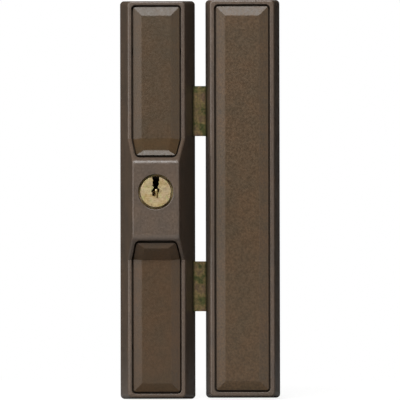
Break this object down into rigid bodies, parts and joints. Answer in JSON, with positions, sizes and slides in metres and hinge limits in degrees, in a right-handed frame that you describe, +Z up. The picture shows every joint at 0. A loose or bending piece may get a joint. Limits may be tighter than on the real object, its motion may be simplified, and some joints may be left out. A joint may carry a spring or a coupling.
{
  "type": "window lock",
  "caption": "Surface-mounted keyed window lock: a lock case with a key cylinder slides two flat bolts into a separate strike case beside it.",
  "frame": {"origin": "middle of the lock case's mounting face", "axes": "+Z up along the cases, +X from the lock case to the strike case, +Y into the window, so the front looks along -Y"},
  "size_m": [0.0784, 0.0332, 0.1961],
  "materials": {
    "housing_paint": "brown powder coat, fine texture, satin",
    "cover_plastic": "moulded, fine spark-eroded texture, satin",
    "plug_brass": "turned and lightly scratched",
    "cylinder_brass": "sawn and dull",
    "yellow_zinc": "yellow passivated zinc, mottled",
    "zinc_steel": "bright zinc plated",
    "hard_steel": "plain steel, oiled"
  },
  "bodies": {
    "root": {"lock_housing": "housing_paint", "upper_cover": "cover_plastic", "lower_cover": "cover_plastic", "lock_base_plate": "zinc_steel", "lock_plate_screws": "zinc_steel", "cylinder_body": "cylinder_brass", "cylinder_screws": "zinc_steel", "driver_pins": "hard_steel", "pin_springs": "hard_steel", "chamber_strip": "cylinder_brass", "bolt_rails": "zinc_steel", "rail_rivets": "hard_steel", "strike_housing": "housing_paint", "strike_cover": "cover_plastic", "strike_base_plate": "zinc_steel", "strike_plate_screws": "zinc_steel", "upper_keeper": "yellow_zinc", "lower_keeper": "yellow_zinc", "keeper_rivets": "hard_steel"},
    "key_plug": {"cylinder_plug": "plug_brass", "key_pins": "plug_brass", "drive_cam": "hard_steel", "drive_pin": "hard_steel", "cam_screw": "zinc_steel"},
    "bolt_slide": {"bolt_bar": "yellow_zinc", "upper_bolt": "yellow_zinc", "lower_bolt": "yellow_zinc", "bolt_rivets": "hard_steel"}
  },
  "joints": [
    {"name": "key_turn", "type": "hinge", "parent": "root", "child": "key_plug", "pos_m": [0, -0.02, 0.0035], "axis": [0, 1, 0], "range_deg": [0, 90]},
    {"name": "bolt_throw", "type": "slide", "parent": "root", "child": "bolt_slide", "axis": [-1, 0, 0], "range_m": [0, 0.014]}
  ],
  "couplings": [
    {"joint": "key_turn", "follows": "bolt_throw", "rad_per_m": 112.2}
  ]
}
